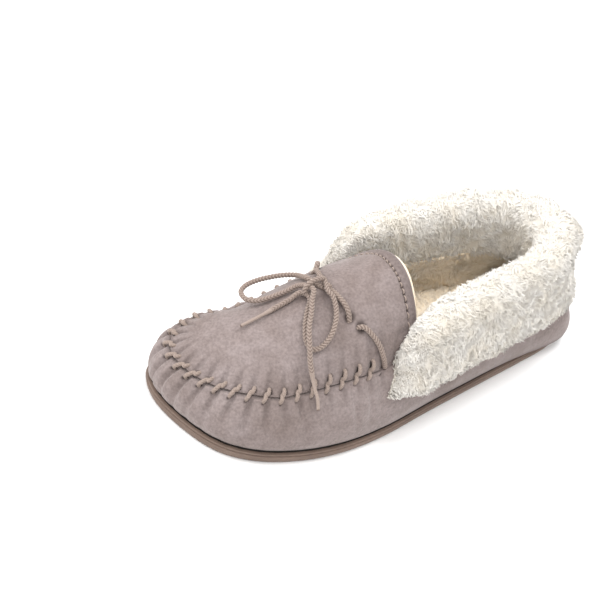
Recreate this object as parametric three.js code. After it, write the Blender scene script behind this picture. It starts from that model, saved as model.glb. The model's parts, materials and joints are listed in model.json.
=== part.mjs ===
// Fluffy house slipper, left foot: a suede moccasin on a rubber sole, lined with wool pile.
// A pile cuff folds over the topline, a whip stitch joins the apron to the wrap, and a bow
// ties the lace that runs through the collar.
//
// Frame: millimetres, +Z up, toe towards -Y, the wearer's outer side at +X. The origin is on
// the flat underside of the sole, halfway along it. A station is a distance in front of the
// back of the sole, so station s lies at y = SOLE_LENGTH / 2 - s.
import * as THREE from "three";
import { mergeVertices } from "three/addons/utils/BufferGeometryUtils.js";

// ---- Driving dimensions ----
const SOLE_LENGTH = 250;
const OUTSOLE_TOP = 6.5;
const MIDSOLE_BOTTOM = 6.8;
const MIDSOLE_TOP = 8.3;
const MIDSOLE_INSET = 1.4;
const WRAP_BASE = 8.6; // underside of the suede wrap
const SUEDE = 1.6; // thickness of the suede
const GAP = 0.3; // clearance between touching pieces
const BED_CLEARANCE = 1; // from the insole layers to the wall of the wrap
const BOARD = [10.6, 12.1]; // bottom and top of each insole layer
const FOAM = [12.4, 15.4];
const FOOTBED = [15.7, 19.7];
const LINING_BOTTOM = 20.1;
const LINING_JOIN = 126; // station where the heel and toe linings meet
const PILE = 4; // lining of the toe
const TONGUE_PILE = 3; // lining of the tongue
const HEEL_PILE = 5.5; // lining of the heel
const LINING = 3.4; // from the outer face of the apron to its lining
const COUNTER = 1.2; // stiffener inside the heel
const COUNTER_STATION = 52; // how far forward the stiffener reaches
const SEAM_END = 150; // station where the whip-stitched seam runs under the cuff
const SPINE_BACK = 45; // the pieces are laid out round a spine between these stations
const SPINE_FRONT = 205;
const TOE_REACH = 36; // from the spine's front end to the seam at the toe
const TOE_SKEW = 0.389; // how far the toe leans inwards, per mm forward
const TONGUE_HINGE = 151; // station where the tongue bends up from the apron
const TONGUE_END = 134; // rear edge of the tongue, on its centre line
const TONGUE_ROUND = 10; // how far forward its corners are rounded
const TONGUE_TAPER = 0.36; // how much each side draws in, per mm back from the hinge
const CUFF_END = [150, 137]; // stations of the front end of the cuff, at its hem and at its top
const CUFF_HEM = 25; // lower edge of the cuff outside
const CUFF_INSIDE = 50; // lower edge of the cuff inside
const COLLAR_LACE = 34; // height of the lace that runs round under the cuff
const LACE = 2.5; // diameter of the lace
const LACE_TIP = 1.6; // diameter of its bound tips
const THREAD = 2.2; // diameter of the whip-stitch lacing
const STITCH_PITCH = 7.5; // from one whip stitch to the next

// Outline of the sole, [station, x], from the back of the heel along the outer side.
const OUTLINE = [
  [0, -5], [3.2, 11], [9.5, 18], [37, 25], [64, 30.8], [110, 40.7], [148, 49.2],
  [174, 51.6], [197, 49.4], [219, 42.2], [234, 30.7], [245, 10], [249.8, -12],
  [246, -27], [232, -36.5], [212, -41], [188, -42.5], [160, -40.5], [110, -36.5],
  [64, -36], [37, -34], [12, -27], [4, -20],
];

// ---- The bow, as [x, station, z] ----
const KNOT = [-1.5, 176.5, 70];
const KNOT_RADII = [5, 4.6, 3.2];
const LACE_ROUTES = {
  lace_loop_left: [
    [-8.6, 177.2, 67.9], [-13, 176.5, 65], [-17.8, 177.1, 62], [-20.8, 182, 60.5],
    [-23.2, 188.4, 58.5], [-24.9, 195.7, 56], [-24.3, 201.4, 54.5], [-21.7, 204.8, 53.5],
    [-15.9, 205, 54], [-12.3, 201.5, 55.2], [-9.7, 195.6, 58.4], [-8.2, 188.5, 62], [-6.8, 183.2, 65.8],
  ],
  lace_loop_right: [
    [6, 174.2, 71.4], [9.5, 173.6, 71.2], [15.9, 174.5, 68.3], [21.4, 177.2, 64.8],
    [25.5, 181.3, 60.3], [27.2, 186.8, 56.2], [25.9, 191, 55.2], [21.6, 192, 57.4],
    [15.9, 190.2, 60.8], [9.7, 186.5, 64.2], [5.2, 182.9, 66.6],
  ],
  lace_tail_left: [[-2.4, 183.2, 65.9], [-1.9, 189.4, 62.4], [-1.7, 198.7, 58.1]],
  lace_tail_right: [
    [3, 181, 71.6], [8, 184.2, 70.4], [13.7, 187.2, 67.4], [19.2, 190.6, 64],
    [23.7, 192.3, 60.8], [27.4, 193.2, 57.4], [30.9, 193.8, 52.9], [34.8, 193.6, 47.6],
  ],
  lace_strand_near: [[5.6, 171.4, 70.6], [10.8, 170.6, 70.8], [15.2, 169.8, 70.2], [18.9, 169, 68.6]],
  lace_strand_far: [[-6.6, 171.4, 69.6], [-10.4, 170, 68.4], [-14.4, 168.4, 66]],
  lace_stitch_near: [
    [27.3, 164, 65.3], [31.4, 160.9, 62.6], [35.2, 157.4, 57.2], [37.8, 154.6, 50.6],
  ],
  lace_stitch_far: [
    [-19.6, 164, 64.2], [-23.6, 160.9, 61.4], [-27.6, 157.4, 55.4], [-30.2, 154.6, 49.4],
  ],
};
const TIP_ROUTES = {
  lace_tip_left: [[-1.7, 199.4, 57.8], [-1.7, 207.4, 54.2], [-2.2, 214.6, 50.6]],
  lace_tip_right: [[35.3, 193.6, 46.9], [38.8, 193.4, 43], [43.2, 193, 39.2], [47, 193.4, 34.4]],
};

// ---- Shape rules along the shoe, as [station, value] keys ----
const spineX = through([[45, -4.5], [100, 0], [150, 4], [205, 2]]);
const wallFoot = through([[0, 7], [14, 4], [45, 0.5], [80, -0.5], [250, -0.5]]);
const wallBelly = through([[0, 8], [45, 3.5], [100, 3.5], [150, 3], [200, 2.5], [250, 1.5]]);
const toplineIn = through([
  [0, -21], [20, -14], [45, -7], [100, -6], [130, -7], [141, -9], [150, -11.5],
]);
const toplineHigh = through([[0, 62], [45, 60], [100, 58], [130, 54], [143, 48], [150, 43]]);
const leanOut = through([[0, 3], [120, 2], [150, 7], [250, 6]]);
const leanDown = through([[0, 20], [120, 18], [150, 5], [250, 4]]);
const seamHigh = through([
  [130, 47], [150, 43], [167, 42], [187, 38], [206, 34.5], [220, 32.5], [232, 29.5], [241, 27.5],
]);
const seamOuter = through([[130, 31], [150, 33], [167, 34.5], [187, 33.5], [205, 32]]);
const seamInner = through([[130, 31], [150, 33], [170, 32], [190, 30], [205, 28]]);
const crownHigh = through([[130, 82], [145, 78], [160, 73], [177, 66], [205, 53], [225, 45], [241, 39]]);
const crownPower = through([[130, 0.84], [146, 0.68], [158, 0.6], [177, 0.6], [205, 0.7]]);
const cuffHem = through([[0, 1.5], [30, 3.5], [60, 5], [150, 5]]);
const cuffOut = through([[0, 11], [20, 11.5], [45, 13], [100, 14], [135, 12], [150, 10]]);
const cuffIn = through([[0, 17], [30, 13], [60, 10], [100, 9], [125, 8], [134, 4.5], [142, 2.6]]);
const cuffMiddle = through([[0, 70], [45, 70], [100, 69], [125, 67], [136, 62], [143, 54], [150, 46]]);
const cuffRise = through([[0, 17], [45, 14], [100, 14], [136, 12], [150, 8]]);

// A smooth curve through [station, value] keys, level beyond its ends.
function through(keys) {
  const slope = (i) => {
    const a = keys[Math.max(i - 1, 0)];
    const b = keys[Math.min(i + 1, keys.length - 1)];
    return (b[1] - a[1]) / (b[0] - a[0]);
  };
  return (s) => {
    if (s <= keys[0][0]) return keys[0][1];
    const i = keys.findIndex((key) => s <= key[0]) - 1;
    if (i < 0) return keys.at(-1)[1];
    const span = keys[i + 1][0] - keys[i][0];
    const f = (s - keys[i][0]) / span;
    const rise = f * f * (3 - 2 * f);
    const easeIn = f * (1 - f) * (1 - f) * span * slope(i);
    const easeOut = f * f * (1 - f) * span * slope(i + 1);
    return keys[i][1] * (1 - rise) + keys[i + 1][1] * rise + easeIn - easeOut;
  };
}

const outline = new THREE.CatmullRomCurve3(
  OUTLINE.map(([s, x]) => new THREE.Vector3(x, SOLE_LENGTH / 2 - s, 0)),
  true,
  "centripetal",
);
outline.arcLengthDivisions = 600;

// ---- Places on the shoe ----

// The place u (0 to 1) round the sole's outline: its point, its station, the way out from
// the spine, and how far the spine is.
function rimAt(u) {
  const point = outline.getPointAt(((u % 1) + 1) % 1);
  const s = SOLE_LENGTH / 2 - point.y;
  const middle = THREE.MathUtils.clamp(s, SPINE_BACK, SPINE_FRONT);
  const spine = new THREE.Vector3(spineX(middle), SOLE_LENGTH / 2 - middle, 0);
  const out = point.clone().sub(spine);
  const reach = out.length();
  return { point, s, out: out.divideScalar(reach), reach };
}

const place = (rim, n, z) => rim.point.clone().addScaledVector(rim.out, n).setZ(z);

// Where round the outline a station lies: side 1 is the outer side, -1 the inner side.
function rimOfStation(s, side) {
  let low = side > 0 ? 0 : 0.5;
  let high = low + 0.5;
  for (let i = 0; i < 30; i++) {
    const u = (low + high) / 2;
    const ahead = SOLE_LENGTH / 2 - outline.getPointAt(u).y > s;
    if (ahead === side > 0) high = u;
    else low = u;
  }
  return (low + high) / 2;
}

// How far the seam is from the spine, in the direction of a rim place.
function seamReach(rim) {
  const side = rim.out.x - TOE_SKEW * Math.min(rim.out.y, 0) > 0 ? seamOuter : seamInner;
  if (rim.s <= SPINE_FRONT) return side(rim.s);
  const forward = -rim.out.y;
  const across = rim.out.x + TOE_SKEW * forward;
  return 1 / Math.hypot(across / side(SPINE_FRONT), forward / TOE_REACH);
}

// Height of the top edge of the wrap, and how far it stands in from the outline.
function wrapEdge(rim) {
  const seamPlace = seamReach(rim) + 1.2 - rim.reach;
  const seamStation = rim.s <= SPINE_FRONT ? rim.s : SPINE_FRONT - seamReach(rim) * rim.out.y;
  const blend = THREE.MathUtils.smoothstep(rim.s, SEAM_END - 14, SEAM_END);
  return {
    n: THREE.MathUtils.lerp(toplineIn(rim.s), seamPlace, blend),
    z: THREE.MathUtils.lerp(toplineHigh(rim.s), seamHigh(seamStation), blend),
  };
}

// Section of the wrap's outer face at a rim place: v runs from the sole (0) to the edge (1),
// and depth goes in through the suede. Gives the distance out from the outline, and the height.
function wallAt(rim, v, depth = 0) {
  const edge = wrapEdge(rim);
  const foot = new THREE.Vector2(wallFoot(rim.s), WRAP_BASE);
  const belly = new THREE.Vector2(wallBelly(rim.s), WRAP_BASE + 0.38 * (edge.z - WRAP_BASE));
  const shoulder = new THREE.Vector2(edge.n + leanOut(rim.s), edge.z - leanDown(rim.s));
  const top = new THREE.Vector2(edge.n, edge.z);
  const curve = new THREE.CubicBezierCurve(foot, belly, shoulder, top);
  const point = curve.getPoint(v);
  const along = curve.getTangent(v);
  return { n: point.x - along.y * depth, z: point.y + along.x * depth };
}

// The same section, by height instead of v.
function wallAtHeight(rim, z, depth = 0) {
  let low = 0;
  let high = 1;
  for (let i = 0; i < 20; i++) {
    const v = (low + high) / 2;
    if (wallAt(rim, v, depth).z > z) high = v;
    else low = v;
  }
  return { n: wallAt(rim, (low + high) / 2, depth).n, z };
}

// Height of the apron and tongue over a place, with the share of the way out to the seam.
function apronAt(x, s) {
  const middle = Math.min(s, SPINE_FRONT);
  const forward = s - middle;
  const across = x - spineX(middle) + TOE_SKEW * forward;
  const side = across > 0 ? seamOuter : seamInner;
  const share = Math.hypot(across / side(middle), forward / TOE_REACH);
  const edge = seamHigh(middle + forward / Math.max(share, 0.2));
  const crown = crownHigh(s);
  const arch = Math.pow(Math.max(1 - share * share, 0), crownPower(middle));
  return { z: edge + (crown - edge) * arch, share };
}

// A point of the apron, depth mm under its outer face (above it where depth is negative).
function apronPoint(x, s, depth = 0) {
  const step = 0.4;
  const slopeX = (apronAt(x + step, s).z - apronAt(x - step, s).z) / (2 * step);
  const slopeS = (apronAt(x, s + step).z - apronAt(x, s - step).z) / (2 * step);
  const normal = new THREE.Vector3(-slopeX, slopeS, 1).normalize();
  return new THREE.Vector3(x, SOLE_LENGTH / 2 - s, apronAt(x, s).z).addScaledVector(normal, -depth);
}

// ---- Building closed skins ----

// Joins loops of equal length into one closed surface. "fan" closes each end loop round its
// middle, and "strip" closes it between its two halves.
function skin(loops, cap) {
  const n = loops[0].length;
  const last = (loops.length - 1) * n;
  const points = loops.flat();
  const faces = [];
  for (let j = 0; j < last; j += n)
    for (let i = 0; i < n; i++) {
      const k = (i + 1) % n;
      faces.push(j + i, j + k, j + n + k, j + i, j + n + k, j + n + i);
    }
  if (cap === "fan") {
    const first = points.length;
    for (const loop of [loops[0], loops.at(-1)])
      points.push(loop.reduce((sum, p) => sum.add(p), new THREE.Vector3()).divideScalar(n));
    for (let i = 0; i < n; i++) {
      const k = (i + 1) % n;
      faces.push(first, k, i, first + 1, last + i, last + k);
    }
  } else {
    for (let i = 0; i < n / 2 - 1; i++) {
      const [a, b, c, d] = [i, i + 1, n - 2 - i, n - 1 - i];
      faces.push(a, c, b, a, d, c);
      faces.push(last + a, last + b, last + c, last + a, last + c, last + d);
    }
  }
  return facingOut(points, faces);
}

function facingOut(points, faces) {
  const geometry = new THREE.BufferGeometry().setFromPoints(points);
  let volume = 0;
  for (let i = 0; i < faces.length; i += 3) {
    const [a, b, c] = [points[faces[i]], points[faces[i + 1]], points[faces[i + 2]]];
    volume += a.dot(b.clone().cross(c));
  }
  geometry.setIndex(volume > 0 ? faces : faces.reverse());
  const merged = mergeVertices(geometry, 1e-3);
  merged.computeVertexNormals();
  return merged;
}

const range = (count, from = 0, to = 1) =>
  Array.from({ length: count }, (_, i) => from + ((to - from) * i) / (count - 1));

// A flat layer of the sole: the outline moved out by n, between two heights.
function layer(n, bottom, top) {
  const loop = (z) => range(65).slice(0, -1).map((u) => place(rimAt(u), n, z));
  return skin([loop(bottom), loop(top)], "fan");
}

// A flat layer that fills the wrap from wall to wall, between two heights.
function bedLayer(bottom, top) {
  const near = SUEDE + BED_CLEARANCE;
  const loop = (z) =>
    range(65).slice(0, -1).map((u) => {
      const rim = rimAt(u);
      const n = Math.min(wallAtHeight(rim, bottom, near).n, wallAtHeight(rim, top, near).n);
      return place(rim, n, z);
    });
  return skin([loop(bottom), loop(top)], "fan");
}

// A layer against the inside of the wrap, between two rim places and two heights.
function wallLayer(from, to, count, rows, lowest, highest, near, far) {
  const loops = range(count, from, to).map((u) => {
    const rim = rimAt(u);
    const heights = range(rows, lowest, highest(rim));
    const outer = heights.map((z) => wallAtHeight(rim, z, near));
    const inner = heights.map((z) => wallAtHeight(rim, z, far));
    return [...outer, ...inner.reverse()].map((p) => place(rim, p.n, p.z));
  });
  return skin(loops, "strip");
}

// A sheet that follows the apron: rings shrink from a border to its middle, on both faces.
function apronSheet(border, near, far, rows = 6) {
  const middle = border.reduce((sum, p) => sum.add(p), new THREE.Vector2()).divideScalar(border.length);
  const ring = (share, depth) =>
    border.map((p) => {
      const q = middle.clone().lerp(p, share);
      return apronPoint(q.x, q.y, depth);
    });
  const shares = range(rows, 0.12, 1);
  const outer = shares.map((share) => ring(share, near));
  const inner = shares.map((share) => ring(share, far)).reverse();
  return skin([...outer, ...inner], "fan");
}

// Border of the apron, as (x, station): round the toe inside the seam, and back across.
function apronBorder(inset, back, count = 36) {
  const from = rimOfStation(back, 1);
  const to = rimOfStation(back, -1);
  const round = range(count, from, to).map((u) => {
    const rim = rimAt(u);
    const p = place(rim, seamReach(rim) - inset - rim.reach, 0);
    return new THREE.Vector2(p.x, SOLE_LENGTH / 2 - p.y);
  });
  const across = range(10, round.at(-1).x, round[0].x).slice(1, -1);
  return [...round, ...across.map((x) => new THREE.Vector2(x, back))];
}

// Border of the tongue: across the hinge line, back along its sides and round its rear edge.
function tongueBorder(inset, hinge) {
  const half = (s, side) =>
    (side > 0 ? seamOuter(s) : seamInner(s)) - inset - TONGUE_TAPER * (TONGUE_HINGE - s);
  const rear = (a) => TONGUE_END + inset * 0.6 + TONGUE_ROUND * Math.abs(a) ** 3;
  const edge = range(19, 1, -1).map((a) => {
    const s = rear(a);
    return new THREE.Vector2(spineX(s) + a * half(s, a), s);
  });
  const side = (sign) => (s) => new THREE.Vector2(spineX(s) + sign * half(s, sign), s);
  const inner = range(4, rear(-1), hinge).slice(1).map(side(-1));
  const outer = range(4, hinge, rear(1)).slice(0, -1).map(side(1));
  const across = range(12, inner.at(-1).x, outer[0].x).slice(1, -1);
  return [...edge, ...inner, ...across.map((x) => new THREE.Vector2(x, hinge)), ...outer];
}

// A round cord along a curve.
function cord(curve, diameter, steps, sides = 8) {
  const section = new THREE.Shape(
    range(sides + 1).slice(0, -1).map((f) => {
      const angle = 2 * Math.PI * f;
      return new THREE.Vector2(Math.cos(angle), Math.sin(angle)).multiplyScalar(diameter / 2);
    }),
  );
  return new THREE.ExtrudeGeometry(section, { steps, extrudePath: curve, bevelEnabled: false });
}

const curveThrough = (points) => new THREE.CatmullRomCurve3(points, false, "centripetal");

// ---- The pieces ----

function wrap() {
  const rims = range(69).slice(0, -1).map(rimAt);
  const ring = (v, depth) =>
    rims.map((rim) => {
      const p = wallAt(rim, v, depth);
      return place(rim, p.n, p.z);
    });
  const flat = (z, n) => rims.map((rim) => place(rim, wallFoot(rim.s) + n, z));
  const rise = range(6, 0.16, 1);
  const outer = [flat(WRAP_BASE, 0), ...rise.map((v) => ring(v, 0))];
  const inner = [...rise.toReversed().map((v) => ring(v, SUEDE)), flat(WRAP_BASE + SUEDE, -SUEDE)];
  return skin([...outer, ...inner], "fan");
}

function toeLining() {
  const from = rimOfStation(LINING_JOIN + 1, 1);
  const to = rimOfStation(LINING_JOIN + 1, -1);
  const top = (rim) => {
    const clearOfCuff = 8 * THREE.MathUtils.smoothstep(rim.s, CUFF_END[0], CUFF_END[0] + 15) - 1;
    return Math.min(wallAt(rim, 0.84).z, cuffInside(rim) + clearOfCuff);
  };
  const near = SUEDE + 2 * GAP;
  return wallLayer(from, to, 38, 3, LINING_BOTTOM, top, near, near + PILE);
}

function heelCounter() {
  const from = rimOfStation(COUNTER_STATION, -1) - 1;
  const to = rimOfStation(COUNTER_STATION, 1);
  const near = SUEDE + 3 * GAP;
  return wallLayer(from, to, 20, 3, LINING_BOTTOM, () => CUFF_INSIDE - 4, near, near + COUNTER);
}

function quarterLining() {
  const from = rimOfStation(LINING_JOIN, -1) - 1;
  const to = rimOfStation(LINING_JOIN, 1);
  const near = SUEDE + COUNTER + 6 * GAP;
  const top = (rim) => cuffInside(rim) - 0.6;
  return wallLayer(from, to, 34, 4, LINING_BOTTOM, top, near, near + HEEL_PILE);
}

// Height of the cuff's lower edge inside the shoe.
const cuffInside = (rim) => Math.min(CUFF_INSIDE, wrapEdge(rim).z - 6);

// Section of the cuff: its fur face, and the face that hugs the wall, each from the outer hem
// over the top to the inner edge.
function cuffSection(rim) {
  const edge = wrapEdge(rim);
  const centre = edge.n - SUEDE / 2;
  const middle = cuffMiddle(rim.s);
  const rise = cuffRise(rim.s);
  const round = (angle) => {
    const width = Math.cos(angle) > 0 ? cuffOut(rim.s) : cuffIn(rim.s);
    return { n: centre + width * Math.cos(angle), z: middle + rise * Math.sin(angle) };
  };
  const wall = (z, depth) => wallAtHeight(rim, z, depth);
  const slack = GAP * (3 + 5 * THREE.MathUtils.smoothstep(rim.s, CUFF_END[1] - 20, CUFF_END[1]));
  const high = edge.z + slack;
  const inside = cuffInside(rim);
  const near = -(LACE + 5 * GAP);
  const far = SUEDE + 1.5 * GAP;
  const hem = wall(CUFF_HEM, -GAP - 0.1);
  const face = [
    { n: hem.n + cuffHem(rim.s), z: CUFF_HEM },
    { n: wall(34, 0).n + 5 + cuffHem(rim.s), z: 34 },
    ...range(7, -0.35, Math.PI + 0.2).map(round),
    { n: centre - cuffIn(rim.s) * 0.92, z: inside + 4 },
    { n: centre - cuffIn(rim.s) * 0.75, z: inside },
  ];
  const back = [
    hem,
    wall(31, near),
    wall(36, near),
    wall(edge.z - 8, near),
    wall(edge.z - 3, -2 * slack),
    { n: edge.n + 1.6 * slack, z: high },
    { n: edge.n - SUEDE - 4 * GAP, z: high },
    wall(edge.z - 3, far + 2 * GAP),
    wall((edge.z + inside) / 2 - 1, far + GAP),
    wall(inside + 1, far + GAP),
    wall(inside, far + GAP),
  ];
  return [...face, ...back.reverse()];
}

// The cuff's front ends slope, so the points by the hem run further forward than the rest.
function furCuff() {
  const cuffPoint = (share, i, fromHem) => {
    const end = THREE.MathUtils.lerp(...CUFF_END, THREE.MathUtils.clamp((fromHem - 1) / 2, 0, 1));
    const from = rimOfStation(end, -1) - 1;
    const rim = rimAt(from + (rimOfStation(end, 1) - from) * share);
    const p = cuffSection(rim)[i];
    return place(rim, p.n, p.z);
  };
  const count = cuffSection(rimAt(0)).length;
  const loops = range(40).map((share) =>
    Array.from({ length: count }, (_, i) => cuffPoint(share, i, Math.min(i, count - 1 - i))),
  );
  return skin(loops, "strip");
}

// The strip of suede that closes the back of the wrap, below the cuff.
function heelTab() {
  const from = -0.016;
  const to = 0.016;
  return wallLayer(from, to, 6, 4, WRAP_BASE + 0.6, () => CUFF_HEM - 1.2, -GAP, -GAP - 1.4);
}

// The whip stitch: one lacing that climbs from the wrap over the seam to the apron and back.
function whipThread() {
  const from = rimOfStation(SEAM_END + 4, 1);
  const to = rimOfStation(SEAM_END + 4, -1);
  const length = (to - from) * outline.getLength();
  const turns = Math.round((0.86 * length) / STITCH_PITCH);
  const clear = THREAD / 2 + GAP + 0.5;
  const onWrap = (rim) => {
    const p = wallAt(rim, 0.86, -clear);
    return place(rim, p.n, p.z);
  };
  const overSeam = (rim) => {
    const edge = wrapEdge(rim);
    return place(rim, edge.n + 0.6, edge.z + clear + 1.4);
  };
  const onApron = (rim) => {
    const p = place(rim, seamReach(rim) * 0.93 - rim.reach, 0);
    return apronPoint(p.x, SOLE_LENGTH / 2 - p.y, -clear);
  };
  const points = range(4 * turns + 1, from, to).map((u, i) => {
    const rim = rimAt(u);
    return [onWrap, overSeam, onApron, overSeam][i % 4](rim);
  });
  return cord(curveThrough(points), THREAD, 4 * turns, 6);
}

function collarLace() {
  const from = rimOfStation(SEAM_END - 5, -1) - 1;
  const to = rimOfStation(SEAM_END - 5, 1);
  const points = range(40, from, to).map((u) => {
    const rim = rimAt(u);
    const p = wallAtHeight(rim, COLLAR_LACE, -LACE / 2 - 2 * GAP);
    return place(rim, p.n, p.z);
  });
  return cord(curveThrough(points), LACE, 44);
}

const laceCurve = (route) =>
  curveThrough(route.map(([x, s, z]) => new THREE.Vector3(x, SOLE_LENGTH / 2 - s, z)));

function lacePiece(route, diameter) {
  const curve = laceCurve(route);
  return cord(curve, diameter, Math.max(3, Math.round(curve.getLength() / (3 * LACE))));
}

function bowKnot() {
  const [x, s, z] = KNOT;
  const knot = new THREE.SphereGeometry(1, 12, 8).deleteAttribute("uv").deleteAttribute("normal");
  return mergeVertices(knot.scale(...KNOT_RADII).translate(x, SOLE_LENGTH / 2 - s, z), 1e-3);
}

// ---- Assembly ----

const finish = (color, roughness) =>
  new THREE.MeshStandardMaterial({ color, roughness, metalness: 0 });
const suede = finish("#a5938f", 0.95);
const wool = finish("#e6dccb", 1);
const woolInside = finish("#c9b9a5", 1);
const rubber = finish("#7d6c61", 0.8);
const foam = finish("#1d1918", 0.9);
const board = finish("#b59c7a", 0.9);
const cordFinish = finish("#9a8780", 0.85);

const slipper = new THREE.Group();

function add(name, geometry, material) {
  const mesh = new THREE.Mesh(geometry, material);
  mesh.name = name;
  slipper.add(mesh);
}

add("outsole", layer(0, 0, OUTSOLE_TOP), rubber);
add("midsole", layer(-MIDSOLE_INSET, MIDSOLE_BOTTOM, MIDSOLE_TOP), foam);
add("moccasin_wrap", wrap(), suede);
add("insole_board", bedLayer(...BOARD), board);
add("footbed_foam", bedLayer(...FOAM), foam);
add("footbed_fleece", bedLayer(...FOOTBED), woolInside);
add("heel_counter", heelCounter(), board);
add("toe_lining", toeLining(), woolInside);
add("quarter_lining", quarterLining(), woolInside);
add("apron", apronSheet(apronBorder(0.6, TONGUE_HINGE + 0.4), 0, SUEDE), suede);
add("apron_lining", apronSheet(apronBorder(5, TONGUE_HINGE + 0.8), LINING, LINING + PILE), woolInside);
add("tongue", apronSheet(tongueBorder(0.6, TONGUE_HINGE - 0.4), 0, SUEDE), suede);
add(
  "tongue_lining",
  apronSheet(tongueBorder(3, TONGUE_HINGE - 0.8), LINING, LINING + TONGUE_PILE),
  woolInside,
);
add("fur_cuff", furCuff(), wool);
add("heel_tab", heelTab(), suede);
add("whip_thread", whipThread(), cordFinish);
add("collar_lace", collarLace(), cordFinish);

add("bow_knot", bowKnot(), cordFinish);
for (const [name, route] of Object.entries(LACE_ROUTES))
  add(name, lacePiece(route, LACE), cordFinish);
for (const [name, route] of Object.entries(TIP_ROUTES))
  add(name, lacePiece(route, LACE_TIP), cordFinish);

export default slipper;
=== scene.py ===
# Fluffy house slipper: the looks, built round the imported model. Lengths are millimetres here
# until mesh_object() turns them into metres. A station is a distance in front of the sole's back.
import json
import math

import bpy
import numpy as np
from mathutils import Matrix

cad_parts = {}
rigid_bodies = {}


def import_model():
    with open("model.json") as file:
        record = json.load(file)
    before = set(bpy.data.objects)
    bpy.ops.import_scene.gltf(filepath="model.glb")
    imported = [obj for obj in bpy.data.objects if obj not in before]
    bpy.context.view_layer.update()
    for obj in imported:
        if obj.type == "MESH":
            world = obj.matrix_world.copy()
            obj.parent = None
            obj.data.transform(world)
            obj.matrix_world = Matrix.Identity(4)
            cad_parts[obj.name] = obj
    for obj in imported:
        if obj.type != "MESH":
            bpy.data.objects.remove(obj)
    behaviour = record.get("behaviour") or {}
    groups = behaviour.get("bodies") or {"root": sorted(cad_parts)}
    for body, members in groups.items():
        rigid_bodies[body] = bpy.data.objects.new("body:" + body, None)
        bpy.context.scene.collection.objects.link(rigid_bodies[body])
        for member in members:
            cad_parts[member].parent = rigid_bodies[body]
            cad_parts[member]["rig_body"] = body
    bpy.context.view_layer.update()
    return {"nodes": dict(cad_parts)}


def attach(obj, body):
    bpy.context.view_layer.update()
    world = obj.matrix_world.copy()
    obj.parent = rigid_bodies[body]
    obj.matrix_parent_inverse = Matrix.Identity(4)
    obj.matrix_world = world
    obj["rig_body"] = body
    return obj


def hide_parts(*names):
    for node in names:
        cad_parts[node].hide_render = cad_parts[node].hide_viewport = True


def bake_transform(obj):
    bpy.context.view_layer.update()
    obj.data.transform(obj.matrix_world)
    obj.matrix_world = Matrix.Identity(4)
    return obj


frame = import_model()

MM = 0.001
LENGTH = 250.0  # the sole's length, along Y
SUEDE = 1.6  # thickness
SEAM_END = 150  # station where the whip-stitched seam runs under the cuff
SPINE_BACK = 45  # the upper is laid out round a spine between these stations
SPINE_FRONT = 205
TOE_REACH = 36  # from the spine's front end to the seam at the toe
TOE_SKEW = 0.389  # how far the toe leans inwards, per mm forward
TONGUE_END = 134  # station of the tongue's rear edge, on its centre line
TONGUE_ROUND = 10  # how far forward its inner corner is rounded
TONGUE_REACH = 2.5  # how far back its outer corner reaches
# How much each of its sides draws in, per mm back from the bend. The model's tongue draws in by
# 0.36, so it is the narrower one, and the visible tongue crosses the cuff.
TONGUE_TAPER = 0.04
HINGE = 151  # station where the tongue bends up from the apron
WRAP_BASE = 8.6  # underside of the suede wrap
LACE = 2.5  # diameter
STITCH_PITCH = 7.5  # from one whip stitch to the next
STITCH_ROW = 5.2  # from the tongue's edge to the row of stitches inside it
HEEL_TAB_TOP = 32
LINING_BOTTOM = 20.1
FOOTBED = (15.7, 19.7)  # its bottom and top
RIM_STITCH = 2.8  # stitch length of the row inside the tongue's rim
CUFF_INSIDE = 46  # lower edge of the cuff inside
# Creases in the outer side: station, share of the way up, and length as a share of the height.
CREASES = [(163, 0.62, 0.3), (172.5, 0.6, 0.28), (188, 0.7, 0.25), (199, 0.6, 0.3)]

# Outline of the sole, [station, x], from the back of the heel along the outer side.
OUTLINE = [
    [0, -5], [3.2, 11], [9.5, 18], [37, 25], [64, 30.8], [110, 40.7], [148, 49.2],
    [174, 51.6], [197, 49.4], [219, 42.2], [234, 30.7], [245, 10], [249.8, -12],
    [246, -27], [232, -36.5], [212, -41], [188, -42.5], [160, -40.5], [110, -36.5],
    [64, -36], [37, -34], [12, -27], [4, -20],
]


# ---- Camera, light and floor ----

def unit(v):
    v = np.asarray(v, float)
    return v / np.linalg.norm(v, axis=-1, keepdims=True)


def make_camera():
    azimuth, height, roll = np.radians([49.99, 40.11, 16.64])
    distance = 0.7
    aim = np.array([-0.02974, -0.03485, 0.03])
    back = np.array([
        math.sin(azimuth) * math.cos(height), -math.cos(azimuth) * math.cos(height), math.sin(height)
    ])
    right = unit(np.cross([0, 0, 1], back))
    up = np.cross(back, right)
    turned_right = right * math.cos(roll) + up * math.sin(roll)
    turned_up = up * math.cos(roll) - right * math.sin(roll)
    data = bpy.data.cameras.new("camera")
    data.lens = 79.36
    data.sensor_width = 36
    camera = bpy.data.objects.new("camera", data)
    bpy.context.scene.collection.objects.link(camera)
    matrix = Matrix.Identity(4)
    for i, axis in enumerate((turned_right, turned_up, back, aim + back * distance)):
        for j in range(3):
            matrix[j][i] = axis[j]
    camera.matrix_world = matrix
    bpy.context.scene.camera = camera


def area_light(name, place, target, size, watts):
    data = bpy.data.lights.new(name, "AREA")
    data.shape = "DISK"
    data.size = size
    data.energy = watts
    lamp = bpy.data.objects.new(name, data)
    lamp.location = place
    back = unit(np.array(place) - np.array(target))
    right = unit(np.cross([0.01, 1, 0.02], back))
    turn = Matrix(np.column_stack([right, np.cross(back, right), back]))
    lamp.rotation_euler = turn.to_euler()
    bpy.context.scene.collection.objects.link(lamp)


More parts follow.
